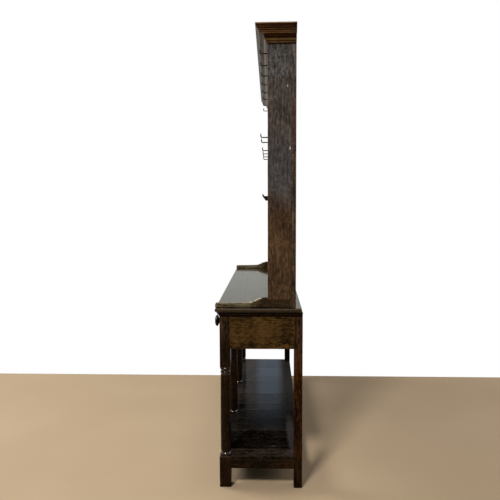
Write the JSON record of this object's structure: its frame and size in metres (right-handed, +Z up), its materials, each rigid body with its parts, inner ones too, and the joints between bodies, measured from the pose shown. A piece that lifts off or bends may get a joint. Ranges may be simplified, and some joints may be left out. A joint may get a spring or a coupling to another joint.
{
  "type": "welsh dresser",
  "caption": "Oak dresser with a row of drawers over turned front legs and a potboard, and an open plate rack above with shelves, iron hooks and a moulded cornice.",
  "frame": {"origin": "on the floor under the middle of the dresser's box, whose front is the tip of the knobs and whose back is the back of the back legs", "axes": "+Z up, +Y from the drawers to the wall, +X along the dresser to its right end as seen from the front"},
  "size_m": [1.6644, 0.422, 2.061],
  "materials": {
    "black_oak": "nearly black old oak, waxed",
    "brown_oak": "dark brown old oak with cathedral grain, waxed",
    "board_oak": "dark oak top, polished to a gloss",
    "potboard_oak": "nearly black worn oak boards with a bluish sheen",
    "rack_oak": "greyish brown old oak, dry waxed",
    "cornice_oak": "dark brown moulded oak with golden worn edges",
    "drawer_oak": "unpolished oak inside the drawers",
    "knob_wood": "black turned wood, polished by use",
    "iron": "blackened wrought iron wire hooks"
  },
  "bodies": {
    "carcass": {"back_leg_left": "brown_oak", "back_leg_right": "brown_oak", "back_rail": "brown_oak", "cornice_front": "cornice_oak", "cornice_left": "cornice_oak", "cornice_right": "cornice_oak", "drawer_rail_1": "brown_oak", "drawer_rail_2": "brown_oak", "drawer_rail_3": "brown_oak", "drawer_runner_1": "drawer_oak", "drawer_runner_2": "drawer_oak", "drawer_runner_3": "drawer_oak", "drawer_runner_4": "drawer_oak", "dresser_board": "board_oak", "edge_moulding_front": "brown_oak", "edge_moulding_left": "brown_oak", "edge_moulding_right": "brown_oak", "end_rail_left": "brown_oak", "end_rail_right": "brown_oak", "frieze": "rack_oak", "front_leg_1": "black_oak", "front_leg_2": "black_oak", "front_leg_3": "black_oak", "front_leg_4": "black_oak", "lower_back_rail": "brown_oak", "lower_end_rail_left": "black_oak", "lower_end_rail_right": "black_oak", "lower_front_rail_1": "brown_oak", "lower_front_rail_2": "brown_oak", "lower_front_rail_3": "brown_oak", "potboard": "potboard_oak", "rack_back_boards": "rack_oak", "rack_foot_left": "rack_oak", "rack_foot_right": "rack_oak", "rack_shelf_1": "rack_oak", "rack_shelf_2": "rack_oak", "rack_shelf_3": "rack_oak", "rack_side_left": "rack_oak", "rack_side_right": "rack_oak", "rack_top": "rack_oak", "top_rail": "black_oak"},
    "drawer_1": {"drawer_1_back": "drawer_oak", "drawer_1_bottom": "drawer_oak", "drawer_1_front": "brown_oak", "drawer_1_knob": "knob_wood", "drawer_1_side_left": "drawer_oak", "drawer_1_side_right": "drawer_oak"},
    "drawer_2": {"drawer_2_back": "drawer_oak", "drawer_2_bottom": "drawer_oak", "drawer_2_front": "brown_oak", "drawer_2_knob": "knob_wood", "drawer_2_side_left": "drawer_oak", "drawer_2_side_right": "drawer_oak"},
    "drawer_3": {"drawer_3_back": "drawer_oak", "drawer_3_bottom": "drawer_oak", "drawer_3_front": "brown_oak", "drawer_3_knob": "knob_wood", "drawer_3_side_left": "drawer_oak", "drawer_3_side_right": "drawer_oak"}
  },
  "joints": [
    {"name": "drawer_1_slide", "type": "slide", "parent": "carcass", "child": "drawer_1", "axis": [0, -1, 0], "range_m": [0, 0.25]},
    {"name": "drawer_2_slide", "type": "slide", "parent": "carcass", "child": "drawer_2", "axis": [0, -1, 0], "range_m": [0, 0.25]},
    {"name": "drawer_3_slide", "type": "slide", "parent": "carcass", "child": "drawer_3", "axis": [0, -1, 0], "range_m": [0, 0.25]}
  ]
}
